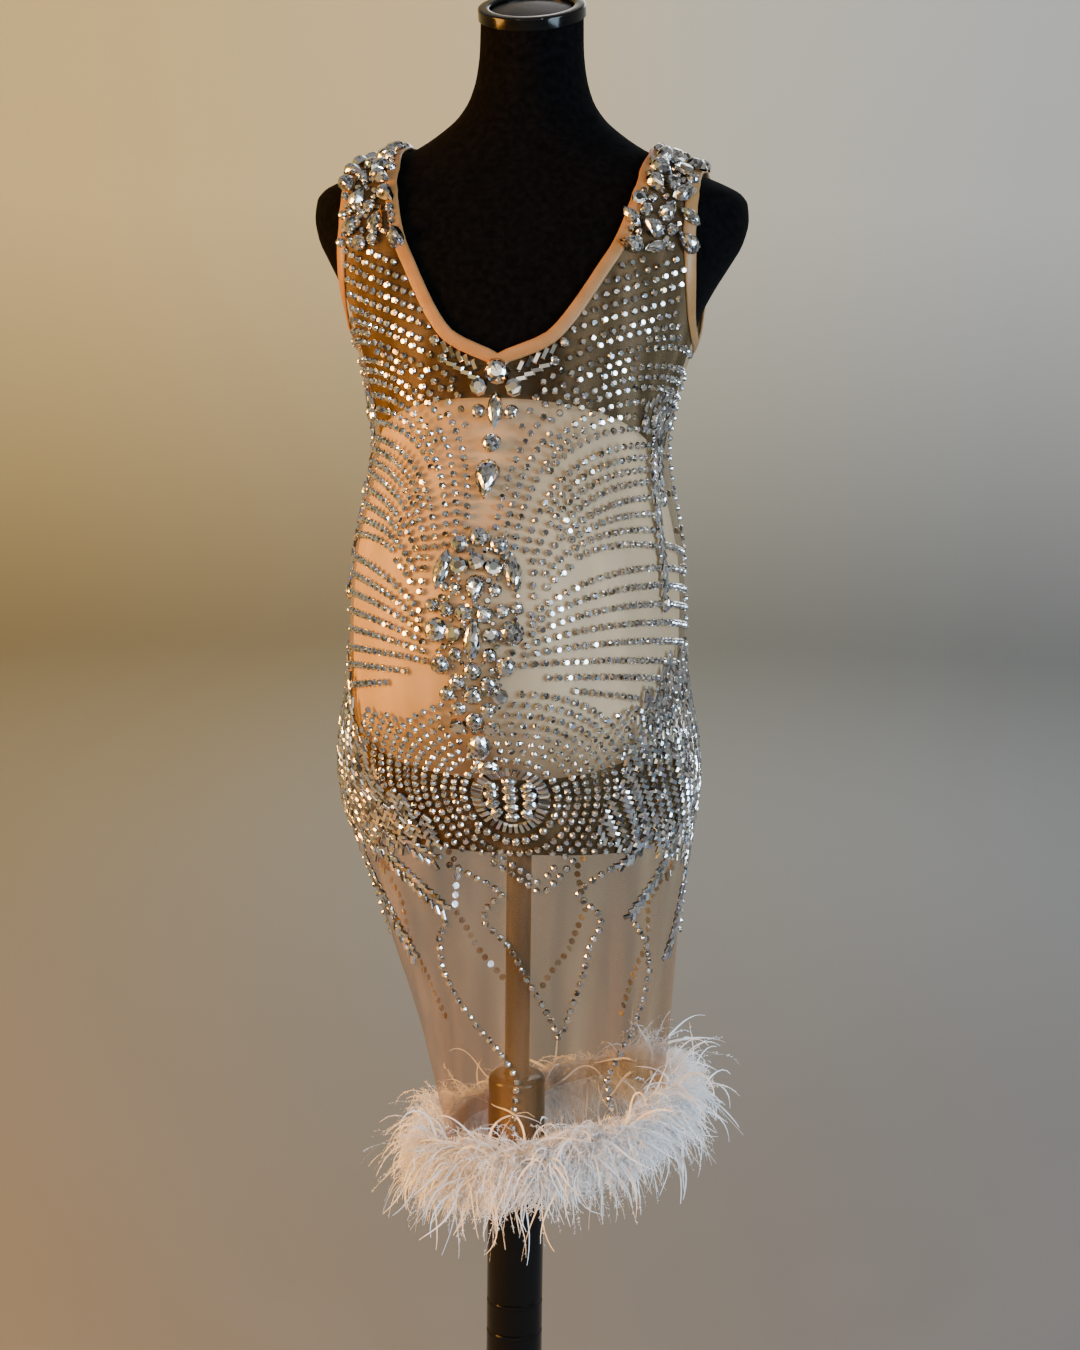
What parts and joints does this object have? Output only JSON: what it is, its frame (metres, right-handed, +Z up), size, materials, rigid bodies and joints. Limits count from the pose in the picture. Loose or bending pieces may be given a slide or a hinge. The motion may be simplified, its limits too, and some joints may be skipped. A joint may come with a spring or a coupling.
{
  "type": "embellished sheer dress on dress form",
  "caption": "Sleeveless V-neck knee-length sheer dress with rhinestones and a feather hem, on a limbless dress form with a belly pad and pole stand.",
  "frame": {"origin": "centre of the stand's underside, on the pole's axis", "axes": "+Z up along the pole, the dress faces -Y, +X is to the right as seen from the front"},
  "size_m": [0.3926, 0.3909, 1.4651],
  "materials": {
    "mesh_cloth": "sheer nude stretch mesh",
    "binding": "nude satin stretch binding",
    "feather": "white feather barbs",
    "crystal": "foil-backed faceted glass",
    "form_cover": "black velvet-like cover",
    "pad": "smooth nude jersey over filling",
    "gloss_black": "glossy black plastic",
    "satin_black": "satin black paint"
  },
  "bodies": {
    "stand": {"base": "satin_black", "lower_tube": "gloss_black"},
    "pole": {"pole": "satin_black"},
    "form": {"torso": "form_cover", "belly_pad": "pad", "neck_ring": "gloss_black", "neck_cap": "satin_black", "dress_front": "mesh_cloth", "dress_back": "mesh_cloth", "neck_binding": "binding", "armhole_binding_left": "binding", "armhole_binding_right": "binding", "feather_trim": "feather"}
  },
  "joints": [
    {"name": "height", "type": "slide", "parent": "stand", "child": "pole", "axis": [0, 0, 1], "range_m": [-0.18, 0.12]},
    {"name": "turn", "type": "hinge", "parent": "pole", "child": "form", "pos_m": [0, 0, 0.75], "axis": [0, 0, 1], "continuous": true}
  ]
}
